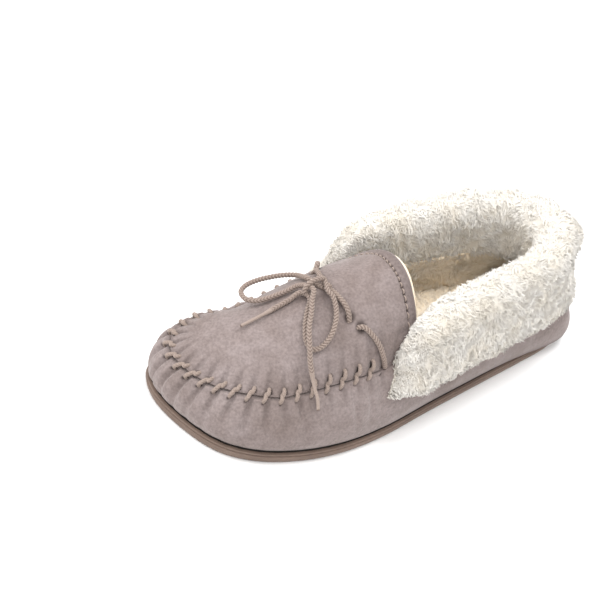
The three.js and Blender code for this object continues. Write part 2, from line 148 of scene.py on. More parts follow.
def make_studio():
    world = bpy.data.worlds.new("studio")
    world.use_nodes = True
    color, strength = world.node_tree.nodes["Background"].inputs[:2]
    color.default_value = (1, 1, 1, 1)
    strength.default_value = 0.93
    bpy.context.scene.world = world
    area_light("key", (0.43, -0.36, 1.06), (0, 0.02, 0.04), 0.6, 4.6)
    area_light("toe", (-0.6, -0.75, 0.7), (0, -0.05, 0.03), 0.6, 6.2)
    area_light("top", (0.05, 0.12, 1.0), (0, 0.04, 0.05), 0.35, 3.6)
    bpy.context.scene.view_settings.view_transform = "Standard"
    bpy.ops.mesh.primitive_plane_add(size=8, location=(0, 0, 0))
    floor = bpy.context.object
    floor.name = "floor"
    floor.data.materials.append(floor_material())


# ---- Materials ----

class Material:
    """A Principled material with a few node helpers."""

    def __init__(self, name, roughness, sheen=0.0, sheen_roughness=0.5, sheen_tint=(1, 1, 1)):
        self.made = bpy.data.materials.new(name)
        self.made.use_nodes = True
        self.nodes = self.made.node_tree.nodes
        self.links = self.made.node_tree.links
        self.shader = self.nodes["Principled BSDF"]
        self.shader.inputs["Roughness"].default_value = roughness
        self.shader.inputs["Specular IOR Level"].default_value = 0.15
        self.shader.inputs["Sheen Weight"].default_value = sheen
        self.shader.inputs["Sheen Roughness"].default_value = sheen_roughness
        self.shader.inputs["Sheen Tint"].default_value = (*sheen_tint, 1)
        self.place = self.nodes.new("ShaderNodeTexCoord").outputs["Object"]

    def node(self, kind, **inputs):
        made = self.nodes.new("ShaderNode" + kind)
        for name, value in inputs.items():
            socket = made.inputs[name.replace("_", " ")]
            if hasattr(value, "is_output"):
                self.links.new(value, socket)
            else:
                socket.default_value = value
        return made

    def noise(self, size, detail=3.0, stretch=None):
        """Noise whose features are about size metres across."""
        place = self.place
        if stretch:
            mapping = self.node("Mapping", Vector=place)
            mapping.inputs["Scale"].default_value = stretch
            place = mapping.outputs[0]
        return self.node("TexNoise", Vector=place, Scale=1 / size, Detail=detail).outputs["Fac"]

    def attribute(self, name):
        made = self.nodes.new("ShaderNodeAttribute")
        made.attribute_name = name
        return made.outputs["Fac"]

    def ramp(self, factor, stops):
        made = self.node("ValToRGB", Fac=factor)
        ramp = made.color_ramp
        while len(ramp.elements) < len(stops):
            ramp.elements.new(0.5)
        for element, (at, color) in zip(ramp.elements, stops):
            element.position = at
            element.color = (*color, 1)
        return made.outputs[0]

    def blend(self, a, b, factor, mode="MIX"):
        made = self.nodes.new("ShaderNodeMix")
        made.data_type = "RGBA"
        made.blend_type = mode
        for socket, value in ((made.inputs[0], factor), (made.inputs[6], a), (made.inputs[7], b)):
            if hasattr(value, "is_output"):
                self.links.new(value, socket)
            else:
                socket.default_value = value if isinstance(value, float) else (*value, 1)
        return made.outputs[2]

    def color(self, output):
        self.links.new(output, self.shader.inputs["Base Color"])

    def bump(self, height, depth, strength=1.0):
        made = self.node("Bump", Height=height, Strength=strength, Distance=depth)
        last = self.shader.inputs["Normal"].links
        if last:
            self.links.new(last[0].from_socket, made.inputs["Normal"])
        self.links.new(made.outputs[0], self.shader.inputs["Normal"])


def floor_material():
    m = Material("floor", 0.9)
    m.color(m.ramp(m.noise(0.5), [(0.3, (0.96, 0.96, 0.96)), (0.7, (0.98, 0.98, 0.98))]))
    return m.made


def suede_material():
    m = Material("suede", 0.95, sheen=0.25, sheen_roughness=0.45, sheen_tint=(1, 0.95, 0.93))
    broad = m.ramp(m.noise(0.028, 3), [(0.3, (0.218, 0.175, 0.161)), (0.7, (0.285, 0.239, 0.23))])
    brushed = m.ramp(m.noise(0.005, 4, (1, 0.45, 1)), [
        (0.3, (0.84, 0.82, 0.81)), (0.72, (1.08, 1.08, 1.09)),
    ])
    grain = m.ramp(m.noise(0.0014, 3), [(0.3, (0.78, 0.77, 0.77)), (0.7, (1.16, 1.16, 1.16))])
    tone = m.blend(m.blend(broad, brushed, 0.8, "MULTIPLY"), grain, 0.8, "MULTIPLY")
    m.color(m.blend(tone, (0.03, 0.02, 0.018), m.attribute("shade")))
    m.bump(m.noise(0.0011, 3), 0.0006, 0.7)
    m.bump(m.noise(0.006, 3), 0.0008, 0.35)
    return m.made


def pile_material(name, root, tip):
    m = Material(name, 1.0, sheen=0.3, sheen_roughness=0.6, sheen_tint=(1, 0.97, 0.92))
    # The wool is lightest at the tips and darker towards the roots: painted shade deep in the pile.
    pale = tuple(min(1, 1.04 * c) for c in tip)
    along = m.ramp(m.attribute("along"), [(0.0, root), (0.55, tip), (1.0, pale)])
    patch = m.ramp(m.noise(0.016, 3), [(0.34, (0.975, 0.95, 0.905)), (0.58, (1.0, 1.0, 1.0))])
    strand = m.ramp(m.noise(0.0025, 2), [(0.3, (0.97, 0.96, 0.94)), (0.7, (1.01, 1.01, 1.01))])
    m.color(m.blend(m.blend(along, patch, 1.0, "MULTIPLY"), strand, 1.0, "MULTIPLY"))
    return m.made


def cord_material():
    m = Material("braided_cord", 0.8, sheen=0.2, sheen_tint=(1, 0.93, 0.88))
    # Low braid values darken the cord; along the weave they are painted shade in its grooves.
    braid = m.ramp(m.attribute("braid"), [
        (0.0, (0.15, 0.11, 0.095)), (0.45, (0.27, 0.21, 0.18)), (1.0, (0.38, 0.305, 0.265)),
    ])
    fibre = m.ramp(m.noise(0.0006, 2), [(0.3, (0.8, 0.78, 0.76)), (0.7, (1.08, 1.08, 1.08))])
    m.color(m.blend(braid, fibre, 0.7, "MULTIPLY"))
    m.bump(m.noise(0.0004, 2), 0.0002, 0.5)
    return m.made


def rubber_material():
    m = Material("sole_rubber", 0.62)
    m.shader.inputs["Specular IOR Level"].default_value = 0.35
    tone = m.ramp(m.noise(0.02, 4), [(0.3, (0.165, 0.115, 0.09)), (0.7, (0.21, 0.15, 0.12))])
    scuffs = m.ramp(m.noise(0.003, 4, (1, 1, 5)), [
        (0.35, (0.86, 0.85, 0.84)), (0.7, (1.08, 1.07, 1.06)),
    ])
    m.color(m.blend(tone, scuffs, 0.8, "MULTIPLY"))
    m.bump(m.noise(0.0007, 3), 0.0002, 0.4)
    return m.made


def plain_material(name, low, high, roughness, grain, stretch=None):
    m = Material(name, roughness)
    m.color(m.ramp(m.noise(grain, 4, stretch), [(0.3, low), (0.7, high)]))
    m.bump(m.noise(grain * 0.5, 3, stretch), 0.0003, 0.5)
    return m.made


# ---- Shape rules: the model's own, and cuff_low, where the visible cuff's hem is ----

def through(keys):
    """A smooth curve through (station, value) keys, level beyond its ends."""
    at, values = np.array(keys, float).T
    after = np.minimum(np.arange(len(at)) + 1, len(at) - 1)
    before = np.maximum(np.arange(len(at)) - 1, 0)
    slopes = (values[after] - values[before]) / (at[after] - at[before])

    def curve(s):
        s = np.clip(s, at[0], at[-1])
        i = np.clip(np.searchsorted(at, s) - 1, 0, len(at) - 2)
        span = at[i + 1] - at[i]
        f = (s - at[i]) / span
        rise = f * f * (3 - 2 * f)
        ease = f * (1 - f) ** 2 * span * slopes[i] - f * f * (1 - f) * span * slopes[i + 1]
        return values[i] * (1 - rise) + values[i + 1] * rise + ease

    return curve


spine_x = through([[45, -4.5], [100, 0], [150, 4], [205, 2]])
wall_foot = through([[0, 7], [14, 4], [45, 0.5], [80, -0.5], [250, -0.5]])
wall_belly = through([[0, 8], [45, 3.5], [100, 3.5], [150, 3], [200, 2.5], [250, 1.5]])
topline_in = through([[0, -21], [20, -14], [45, -7], [100, -6], [130, -7], [141, -9], [150, -11.5]])
topline_high = through([[0, 62], [45, 60], [100, 58], [130, 54], [143, 48], [150, 43]])
lean_out = through([[0, 3], [120, 2], [150, 7], [250, 6]])
lean_down = through([[0, 20], [120, 18], [150, 5], [250, 4]])
seam_high = through([
    [130, 47], [150, 43], [167, 42], [187, 38], [206, 34.5], [220, 32.5], [232, 29.5], [241, 27.5],
])
seam_outer = through([[130, 31], [150, 33], [167, 34.5], [187, 33.5], [205, 32]])
seam_inner = through([[130, 31], [150, 33], [170, 32], [190, 30], [205, 28]])
crown_high = through([[130, 82], [145, 78], [160, 73], [177, 66], [205, 53], [225, 45], [241, 39]])
crown_power = through([[130, 0.84], [146, 0.68], [158, 0.6], [177, 0.6], [205, 0.7]])
cuff_out = through([[0, 11], [20, 11.5], [45, 13], [100, 14], [135, 12], [150, 10]])
cuff_in = through([[0, 17], [30, 13], [60, 10], [100, 9], [125, 8], [134, 4.5], [142, 2.6]])
cuff_hem = through([[0, 1.5], [30, 3.5], [60, 5], [150, 5]])
cuff_low = through([[0, 31.8], [40, 31.8], [110, 31.8], [140, 31.5], [150, 30.5]])
cuff_middle = through([[0, 70], [45, 70], [100, 69], [125, 67], [136, 62], [143, 54], [150, 46]])
cuff_rise = through([[0, 17], [45, 14], [100, 14], [136, 12], [150, 8]])


def smoothstep(x, low, high):
    f = np.clip((x - low) / (high - low), 0, 1)
    return f * f * (3 - 2 * f)


def run_along(points):
    """The length along a line of points, at each of them."""
    return np.r_[0, np.cumsum(np.linalg.norm(np.diff(points, axis=0), axis=1))]


def spline(points, step, closed=False):
    """Points step apart on the centripetal Catmull-Rom curve through the given points."""
    p = np.asarray(points, float)
    if closed:
        p = np.vstack([p[-1], p, p[0], p[1]])
    else:
        p = np.vstack([2 * p[0] - p[1], p, 2 * p[-1] - p[-2]])
    dense = []
    for a, b, c, d in zip(p, p[1:], p[2:], p[3:]):
        ab, bc, cd = [np.sqrt(np.linalg.norm(q - r)) for q, r in ((b, a), (c, b), (d, c))]
        start = ((b - a) / ab - (c - a) / (ab + bc) + (c - b) / bc) * bc
        end = ((c - b) / bc - (d - b) / (bc + cd) + (d - c) / cd) * bc
        f = np.linspace(0, 1, 60, endpoint=False)[:, None]
        dense.append(
            b + start * f + (3 * (c - b) - 2 * start - end) * f**2 + (2 * (b - c) + start + end) * f**3
        )
    dense = np.vstack([*dense, p[-2]])
    run = run_along(dense)
    count = max(4, int(round(run[-1] / step)))
    at = np.linspace(0, run[-1], count + 1)
    return np.column_stack([np.interp(at, run, column) for column in dense.T])


outline_points = spline([(x, LENGTH / 2 - s) for s, x in OUTLINE], 0.25, closed=True)
outline_run = np.linspace(0, 1, len(outline_points))
outline_length = float(np.linalg.norm(np.diff(outline_points, axis=0), axis=1).sum())


class Rim:
    """Places round the outline: point, station, way out from the spine, and distance to it."""

    def __init__(self, u):
        u = np.mod(u, 1)
        self.point = np.stack([np.interp(u, outline_run, outline_points[:, i]) for i in (0, 1)], -1)
        self.s = LENGTH / 2 - self.point[..., 1]
        middle = np.clip(self.s, SPINE_BACK, SPINE_FRONT)
        spine = np.stack([spine_x(middle), LENGTH / 2 - middle], -1)
        way = self.point - spine
        self.reach = np.linalg.norm(way, axis=-1)
        self.out = way / self.reach[..., None]
        forward = np.maximum(-self.out[..., 1], 0)
        across = self.out[..., 0] + TOE_SKEW * forward
        side_s = np.minimum(self.s, SPINE_FRONT)
        half = np.where(across > 0, seam_outer(side_s), seam_inner(side_s))
        toe = 1 / np.hypot(across / half, forward / TOE_REACH)
        self.seam = np.where(self.s <= SPINE_FRONT, half, toe)
        seam_s = np.where(self.s <= SPINE_FRONT, self.s, SPINE_FRONT + self.seam * forward)
        blend = smoothstep(self.s, SEAM_END - 14, SEAM_END)
        self.edge_n = topline_in(self.s) * (1 - blend) + (self.seam + 1.2 - self.reach) * blend
        self.edge_z = topline_high(self.s) * (1 - blend) + seam_high(seam_s) * blend

    def place(self, n, z):
        flat = self.point + self.out * np.asarray(n)[..., None]
        return np.concatenate([flat, np.broadcast_to(z, flat.shape[:-1])[..., None]], -1)

    def wall(self, v, depth=0.0):
        """A point of the wrap's section, v of the way up, depth inside its outer face."""
        low, high = WRAP_BASE, self.edge_z
        xs = wall_foot(self.s), wall_belly(self.s), self.edge_n + lean_out(self.s), self.edge_n
        zs = low, low + 0.38 * (high - low), high - lean_down(self.s), high
        share = ((1 - v) ** 3, 3 * v * (1 - v) ** 2, 3 * v * v * (1 - v), v**3)
        lean = (1 - v) ** 2, 2 * v * (1 - v), v * v
        n = sum(a * b for a, b in zip(xs, share))
        z = sum(a * b for a, b in zip(zs, share))
        dn = sum((b - a) * w for a, b, w in zip(xs, xs[1:], lean))
        dz = sum((b - a) * w for a, b, w in zip(zs, zs[1:], lean))
        size = np.hypot(dn, dz)
        return n - dz / size * depth, z + dn / size * depth

    def wall_at(self, z, depth=0.0):
        """How far out the wrap's section is at a height."""
        v = np.linspace(0, 1, 60).reshape(-1, *([1] * np.ndim(self.s)))
        n, high = self.wall(v, depth)
        flat_n, flat_z = n.reshape(60, -1), high.reshape(60, -1)
        wanted = np.broadcast_to(z, self.s.shape).ravel()
        found = [np.interp(w, b, a) for w, a, b in zip(wanted, flat_n.T, flat_z.T)]
        return np.array(found).reshape(self.s.shape)


def u_of_station(s, side):
    u = np.linspace(0, 0.5, 2000) if side > 0 else np.linspace(1, 0.5, 2000)
    return float(np.interp(s, Rim(u).s, u))


def apron_at(x, s):
    """Height of the apron and tongue."""
    middle = np.minimum(s, SPINE_FRONT)
    forward = s - middle
    across = x - spine_x(middle) + TOE_SKEW * forward
    half = np.where(across > 0, seam_outer(middle), seam_inner(middle))
    share = np.hypot(across / half, forward / TOE_REACH)
    edge = seam_high(middle + forward / np.maximum(share, 0.2))
    arch = np.maximum(1 - share * share, 0) ** crown_power(middle)
    return edge + (crown_high(s) - edge) * arch


def apron_point(x, s, depth=0.0):
    step = 0.4
    slope_x = (apron_at(x + step, s) - apron_at(x - step, s)) / (2 * step)
    slope_s = (apron_at(x, s + step) - apron_at(x, s - step)) / (2 * step)
    normal = unit(np.stack([-slope_x, slope_s, np.ones_like(slope_x)], -1))
    point = np.stack([x, LENGTH / 2 - s, apron_at(x, s)], -1)
    return point - normal * np.asarray(depth)[..., None]


# The seam, as the place round the rim against the length along it.
seam_u = np.linspace(u_of_station(SEAM_END, 1), u_of_station(SEAM_END, -1), 1500)
seam_rim = Rim(seam_u)
seam_line = seam_rim.place(seam_rim.edge_n, seam_rim.edge_z)
seam_run = run_along(seam_line)
stitch_count = int(seam_run[-1] / STITCH_PITCH)
stitch_places = (np.arange(stitch_count) + 0.5) * seam_run[-1] / stitch_count
even_pitch = seam_run[-1] / stitch_count


def ripple(points, size, seed, count=14):
    """Smooth random variation between about -1 and 1, with features about size mm across."""
    draw = np.random.default_rng(seed)
    total = 0
    for _ in range(count):
        way = unit(draw.normal(size=3)) * 2 * math.pi / (size * draw.uniform(1.2, 2.6))
        total = total + np.sin(points @ way + draw.uniform(0, 2 * math.pi))
    return total / math.sqrt(count / 2) / 1.6


# ---- Building meshes ----

def mesh_object(name, points, faces, material, attributes=None, body="shoe", normals=None):
    """faces is an array of triangles or quads. The object rides on the body, if one is named.
    normals, one per point, are what it is shaded with."""
    points = np.asarray(points, float).reshape(-1, 3)
    faces = np.asarray(faces, int)
    mesh = bpy.data.meshes.new(name)
    mesh.vertices.add(len(points))
    mesh.vertices.foreach_set("co", (points * MM).astype(np.float32).ravel())
    mesh.loops.add(faces.size)
    mesh.loops.foreach_set("vertex_index", faces.ravel())
    mesh.polygons.add(len(faces))
    mesh.polygons.foreach_set("loop_start", np.arange(0, faces.size, faces.shape[1]))
    mesh.update(calc_edges=True)
    mesh.polygons.foreach_set("use_smooth", np.full(len(faces), True))
    for key, values in (attributes or {}).items():
        layer = mesh.attributes.new(key, "FLOAT", "POINT")
        layer.data.foreach_set("value", np.asarray(values, np.float32).ravel())
    if normals is not None:
        mesh.normals_split_custom_set_from_vertices(normals)
    mesh.materials.append(material)
    made = bpy.data.objects.new(name, mesh)
    bpy.context.scene.collection.objects.link(made)
    if body:
        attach(made, body)
    return made


def grid_faces(rows, columns, close_rows=False):
    """Quads between rows of closed loops."""
    i = np.arange(rows if close_rows else rows - 1)[:, None]
    j = np.arange(columns)[None, :]
    a, b = i, (i + 1) % rows
    c, d = j, (j + 1) % columns
    quads = [a * columns + c, b * columns + c, b * columns + d, a * columns + d]
    return np.stack([np.broadcast_to(q, (len(i), j.size)) for q in quads], -1).reshape(-1, 4)


def grid_normals(points):
    across = np.gradient(points, axis=1)
    return unit(np.cross(np.gradient(points, axis=0), across) + 1e-9)


def capped_triangles(rows, columns):
    """Triangles of rows of closed loops, with a fan at each end to the two points after them."""
    quads = grid_faces(rows, columns)
    ring = np.arange(columns)
    turned = np.roll(ring, -1)
    count = rows * columns
    last = count - columns
    return np.vstack([
        quads[:, [0, 1, 2]], quads[:, [0, 2, 3]],
        np.column_stack([np.full(columns, count), ring, turned]),
        np.column_stack([np.full(columns, count + 1), turned + last, ring + last]),
    ])


def capped_sweep(name, loops, material, attributes):
    """A closed skin of section loops (rows), capped by its first and last rows."""
    rows, columns = loops.shape[:2]
    half = columns // 2
    cap = np.array([[i, i + 1, columns - 2 - i, columns - 1 - i] for i in range(half - 1)])
    faces = grid_faces(rows, columns)
    faces = np.vstack([faces, cap[:, ::-1], cap + (rows - 1) * columns])
    return mesh_object(name, loops, faces, material, attributes)


def wool_sweep(name, loops, material, along):
    """A capped_sweep of wool whose shade is that of a strand, along its length from 0 to 1."""
    return capped_sweep(name, loops, material, {"along": np.full(loops.shape[:2], along)})


def frames_along(path):
    """Two directions across a path at each point, turning as little as they can."""
    tangent = unit(np.gradient(path, axis=0))
    side = np.zeros_like(path)
    side[0] = unit(np.cross(tangent[0], [0.1, 0.2, 1]))
    for i in range(1, len(path)):
        side[i] = unit(side[i - 1] - tangent[i] * (side[i - 1] @ tangent[i]))
    return side, np.cross(tangent, side)


def tube(path, radius, sides, braid=0.0, pitch=3.0):
    """A closed tube round a path. braid is the depth of its two crossing sets of ridges."""
    side, up = frames_along(path)
    run = run_along(path)
    angle = np.linspace(0, 2 * math.pi, sides, endpoint=False)
    radius = np.broadcast_to(radius, len(path))[:, None]
    a, r = angle[None, :], run[:, None]
    turns = 2 * math.pi * r / pitch
    weave = np.cos(4 * a + turns * 2) * (np.sin(a * 2) > 0)
    weave = weave + np.cos(4 * a - turns * 2) * (np.sin(a * 2) <= 0)
    rings = radius * (1 + braid * weave)
    points = path[:, None] + rings[..., None] * (
        np.cos(angle)[None, :, None] * side[:, None] + np.sin(angle)[None, :, None] * up[:, None]
    )
    points = np.vstack([points.reshape(-1, 3), path[0], path[-1]])
    # Painted shade for the cord's colour: 0.5 where there is no braid, darker in the weave's grooves
    # and lighter on its ridges.
    tone_and_weave_shade = np.r_[(0.5 + 0.5 * weave * (braid > 0)).ravel(), 0.5, 0.5]
    return points, capped_triangles(len(path), sides), tone_and_weave_shade


def join(parts):
    """Joins (points, triangles, tone and weave shade) parts into one."""
    points, faces, tones_and_weave_shades = zip(*parts)
    starts = np.cumsum([0, *(len(p) for p in points[:-1])])
    faces = [f + start for f, start in zip(faces, starts)]
    return np.vstack(points), np.vstack(faces), np.concatenate(tones_and_weave_shades)


# ---- Laces ----

def route_points(route):
    """Points of a [x, station, z] route. Where z is None the lace has gone down its hole."""
    points = []
    for x, s, z in route:
        if z is None:
            z = float(apron_at(np.array([float(x)]), np.array([float(s)]))[0]) - 3.0
        points.append((x, LENGTH / 2 - s, z))
    return points


LACE_HOLES = [(20.6, 168.8), (-15.8, 168), (26.2, 164.8), (-18.6, 164.8)]  # x and station

# Each half of the lace, [x, station, z], from its hole through the knot to its bound tip.
NEAR_LACE = [
    [21.8, 168.5, None], [18.9, 169, 67.6], [15.2, 169.8, 70.2], [10.8, 170.6, 70.9],
    [5.6, 171.4, 70.6], [-1.5, 174.2, 68.6], [-8.6, 177.2, 67.9], [-13, 176.5, 65],
    [-17.8, 177.1, 62], [-20.8, 182, 60.5], [-23.2, 188.4, 58.5], [-24.9, 195.7, 56],
    [-24.3, 201.4, 54.5], [-21.7, 204.8, 53.5], [-15.9, 205, 54], [-12.3, 201.5, 55.2],
    [-9.7, 195.6, 58.4], [-8.2, 188.5, 62], [-6.8, 183.2, 65.8], [-2.6, 181.4, 69.4],
    [3, 181, 71.6], [8, 184.2, 70.4], [13.7, 187.2, 67.4], [19.2, 190.6, 64],
    [23.7, 192.3, 60.8], [27.4, 193.2, 57.4], [30.9, 193.8, 52.9], [34.8, 193.6, 47.6],
]
NEAR_TIP = [[34.4, 193.6, 48.1], [38.8, 193.4, 43], [43.2, 193, 39.2], [47, 193.4, 34.4]]
FAR_LACE = [
    [-17.6, 167.5, None], [-14.4, 168.4, 65.6], [-10.4, 170, 68.6], [-6.6, 171.4, 69.8],
    [-0.4, 172.6, 71.9], [6, 174.2, 71.4], [9.5, 173.6, 71.2], [15.9, 174.5, 68.3],
    [21.4, 177.2, 64.8], [25.5, 181.3, 60.3], [27.2, 186.8, 56.2], [25.9, 191, 55.2],
    [21.6, 192, 57.4], [15.9, 190.2, 60.8], [9.7, 186.5, 64.2], [5.2, 182.9, 66.4],
    [1, 182.2, 66.6], [-1.9, 184.6, 65.9], [-1.9, 190, 62.2], [-1.7, 199.2, 57.9],
]
FAR_TIP = [[-1.7, 198.8, 58], [-1.7, 207.4, 54.2], [-2.2, 214.6, 50.6]]
NEAR_STITCH = [
    [24.4, 166, None], [27.3, 163.9, 64], [31.4, 160.9, 62], [35.2, 157.4, 57.2],
    [37.8, 154.6, 50.6], [38.4, 152, 44],
]
FAR_STITCH = [
    [-16.8, 166, None], [-19.6, 163.9, 63.4], [-23.6, 160.9, 61.4], [-27.6, 157.4, 55.4],
    [-30.2, 154.6, 49.4], [-31, 152, 43],
]


def braided(name, route, material, replaced):
    path = spline(route_points(route), 0.22)
    points, faces, tone_and_weave_shade = tube(path, LACE / 2, 16, 0.13, 3.4)
    made = mesh_object(name, points, faces, material, {"braid": tone_and_weave_shade})
    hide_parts(*replaced)
    return made, path


def bound_tip(name, route, material, replaced):
    """The lace's end: whipped smooth, thinner than the cord, and cut square."""
    path = spline(route_points(route), 0.2)
    run = np.linspace(0, 1, len(path))
    radius = 0.82 + 0.42 * (1 - smoothstep(run, 0, 0.3)) + 0.02 * np.sin(run * len(path) * 0.9)
    points, faces, _ = tube(path, radius, 16)
    shade = 0.78 - 0.75 * smoothstep(run, 0.955, 0.975)
    shade = np.r_[np.repeat(shade, 16), 0.7, 0.0]
    made = mesh_object(name, points, faces, material, {"braid": shade})
    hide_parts(replaced)
    return made


def make_laces(material):
    near, near_path = braided(
        "lace_near", NEAR_LACE, material, ["lace_strand_near", "lace_loop_left", "lace_tail_right"],
    )
    near_tip = bound_tip("lace_near_tip", NEAR_TIP, material, "lace_tip_right")
    far, far_path = braided(
        "lace_far", FAR_LACE, material, ["lace_strand_far", "lace_loop_right", "lace_tail_left"],
    )
    far_tip = bound_tip("lace_far_tip", FAR_TIP, material, "lace_tip_left")
    angle = np.linspace(-0.6 * math.pi, 1.75 * math.pi, 26)
    wrap = [
        [-1.2 + 0.75 * a, 177.2 + 6.3 * math.sin(a), 69.1 + 4.6 * math.cos(a)] for a in angle
    ]
    knot, _ = braided("knot_wrap", wrap, material, ["bow_knot"])
    braided("lace_stitch_outer", NEAR_STITCH, material, ["lace_stitch_near"])
    braided("lace_stitch_inner", FAR_STITCH, material, ["lace_stitch_far"])


# ---- Sole ----

def make_outsole(material):
    rims = Rim(np.linspace(0, 1, 420, endpoint=False))
    heel = 1 - smoothstep(rims.s, 0, 34)
    wall = [
        (-3.2, 0.0), (-1.5, 0.15), (-0.6, 0.8), (-0.2, 1.7), (0, 2.8), (0.05, 3.9), (0.1, 4.25),
        (0.45, 4.5), (0.5, 4.75), (0.2, 4.95), (-0.35, 5.1), (-0.5, 5.3), (-0.3, 5.5), (0.1, 5.65),
        (0.25, 6.0), (0.1, 6.35), (-0.4, 6.5), (-3, 6.5),
    ]
    loops = []
    for share in np.linspace(0.02, 0.97, 46):
        flat = rims.point + rims.out * (-(1 - share) * rims.reach - 3.2 * share)[:, None]
        wave = np.cos(flat[:, 1] * 2 * math.pi / 8 + 1.2 * np.sin(flat[:, 0] * 2 * math.pi / 16))
        tread = 1.1 * smoothstep(wave, 0.45, 0.75) * smoothstep(0.97 - share, 0.02, 0.06)
        loops.append(np.column_stack([flat, tread]))
    for n, z in wall:
        tuck = heel * 1.4 * (1 - z / 6.5) ** 2
        rise = heel * 0.5 * max(0, 1 - z / 3) * (z > 0)
        loops.append(rims.place(n - tuck, z + rise))
    loops.append(rims.place(-rims.reach * 0.97, 6.5))
    loops = np.array(loops)
    points = np.vstack([loops.reshape(-1, 3), loops[0].mean(0), loops[-1].mean(0)])
    triangles = capped_triangles(*loops.shape[:2])[:, [0, 2, 1]]
    made = mesh_object("rubber_outsole", points, triangles, material)
    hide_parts("outsole")


# ---- Suede ----

def stitch_pinch(run):
    """1 at a pair of stitches, falling to 0 between them."""
    off = np.abs((run / even_pitch) % 1 - 0.5) * 2
    return 1 - smoothstep(off, 0.0, 0.6)


def hole_shade(run, off_line, shift):
    """Darkness of the stitch holes, from the distance along and across their line."""
    along = ((run / even_pitch) % 1 - 0.5) * even_pitch - shift
    return np.exp(-(np.hypot(along / 1.1, off_line) / 0.95) ** 4)


def make_wrap(material):
    u = np.linspace(0, 1, 1000, endpoint=False)
    rims = Rim(u)
    run = np.interp(u, seam_u, seam_run)
    seam = smoothstep(rims.s, SEAM_END - 6, SEAM_END + 6)
    toe = smoothstep(rims.s, 185, 225)
    heights = rims.edge_z - WRAP_BASE
    run_around = outline_length * u
    pinch = stitch_pinch(run)
    loops, shades = [rims.place(wall_foot(rims.s) - 7, WRAP_BASE)], [np.zeros(len(u))]
    rows = np.r_[0.0, 0.012, 0.03, np.linspace(0.06, 1, 44)]
    for v in rows:
        n, z = rims.wall(v)
        below = (1 - v) * heights
        pleat = (1 - pinch * 1.6) * seam * np.exp(-((below - 5) / (5 + 6 * toe)) ** 2)
        flat = rims.place(n, z)
        soft = 0.55 * ripple(flat * [1, 1, 0.5], 17, 3) + 0.22 * ripple(flat * [1, 1, 0.4], 6, 4)
        soft = soft * smoothstep(v, 0.02, 0.25) * (1 - 0.7 * smoothstep(v, 0.8, 0.97))
        fold = np.zeros(len(u))
        for at, tall, long in CREASES:
            where = outline_length * u_of_station(at + 5 * (v - 0.8), 1)
            off = run_around - where
            here = np.exp(-(((v - tall) / long) ** 2))
            fold += here * 0.9 * np.exp(-((off - 3.4) / 2.6) ** 2)
            fold += here * 0.7 * np.exp(-((off + 3.2) / 2.4) ** 2)
            fold -= here * 1.1 * np.exp(-((off / 1.3) ** 2))
        lip = seam * np.exp(-(below / 1.8) ** 2) * (1.3 - 0.9 * pinch)
        holes = hole_shade(run, below - 2.6, 1.4) * smoothstep(rims.s, SEAM_END - 2, SEAM_END + 4)
        push = np.maximum(pleat * (0.6 + 0.9 * toe) + soft + fold - 0.9 * holes, -1.1) + lip
        tucked = 1 - smoothstep(v, 0.0, 0.07)
        rows_n = n + push - 0.5 * tucked
        loops.append(rims.place(rows_n, z))
        crease = 0.25 * seam * pinch * np.exp(-((below - 5) / 5) ** 2)
        shades.append(np.clip(0.92 * holes + crease + 0.35 * tucked, 0, 1))
    for depth in (0.6, 1.2, SUEDE):
        n, z = rims.wall(1.0, depth)
        loops.append(rims.place(n, z + 0.35 * (depth < 1.5)))
        shades.append(np.full(len(u), 0.25))
    for v in np.linspace(0.94, 0.1, 9):
        n, z = rims.wall(v, SUEDE)
        loops.append(rims.place(n, z))
        shades.append(np.full(len(u), 0.3))
    loops.append(rims.place(wall_foot(rims.s) - SUEDE, WRAP_BASE + SUEDE))
    loops.append(rims.place(wall_foot(rims.s) - 7, WRAP_BASE + SUEDE))
    shades += [np.zeros(len(u))] * 2
    loops = np.array(loops)
    faces = grid_faces(*loops.shape[:2], close_rows=True)
    made = mesh_object("suede_wrap", loops, faces[:, ::-1], material, {"shade": np.array(shades)})
    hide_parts("moccasin_wrap")


def nearest_on(line, run, x, y):
    """Distance from places to a line, and the length along it at the nearest of its points."""
    flat = np.column_stack([np.ravel(x), np.ravel(y)])
    gaps, runs = [], []
    for chunk in np.array_split(flat, 40):
        gap = np.linalg.norm(chunk[:, None] - line[None], axis=2)
        gaps.append(gap.min(1))
        runs.append(run[gap.argmin(1)])
    return np.concatenate(gaps).reshape(np.shape(x)), np.concatenate(runs).reshape(np.shape(x))


def upper_grid(across, rear_rows, side_rows, toe_rows, inset, rear_out=0.0):
    """(x, station) places over the tongue and apron, from the tongue's rear edge to the toe."""
    def half_at(s, a):
        return np.where(a > 0, seam_outer(s), seam_inner(s)) - inset

    a = across
    corner = np.where(a > 0, -TONGUE_REACH * a, TONGUE_ROUND * np.abs(a) ** 3)
    rear = TONGUE_END - rear_out + corner
    xs, stations = [], []
    for r in np.linspace(0, 1, rear_rows) ** 1.3:
        s = rear + (HINGE - rear) * r
        taper = TONGUE_TAPER * (HINGE - s)
        xs.append(spine_x(s) + a * (half_at(s, a) - taper))
        stations.append(s)
    for s in np.linspace(HINGE, SPINE_FRONT, side_rows)[1:]:
        s = np.full(len(a), s)
        xs.append(spine_x(s) + a * half_at(s, a))
        stations.append(s)
    for angle in np.linspace(0, math.pi / 2, toe_rows)[1:]:
        forward = (TOE_REACH - inset) * math.sin(angle)
        s = np.full(len(a), SPINE_FRONT + forward)
        half = half_at(np.full(len(a), float(SPINE_FRONT)), a) * math.cos(angle)
        xs.append(spine_x(s) - TOE_SKEW * forward + a * half)
        stations.append(s)
    return np.array(xs), np.array(stations)


def sheet_between(name, upper, lower, material, shade):
    """A closed skin from two grids of points: each row goes across on top and back below."""
    loops = np.concatenate([upper, lower[:, ::-1]], 1)
    shades = np.concatenate([shade, np.full_like(shade, 0.3)], 1)
    return capped_sweep(name, loops, material, {"shade": shades})


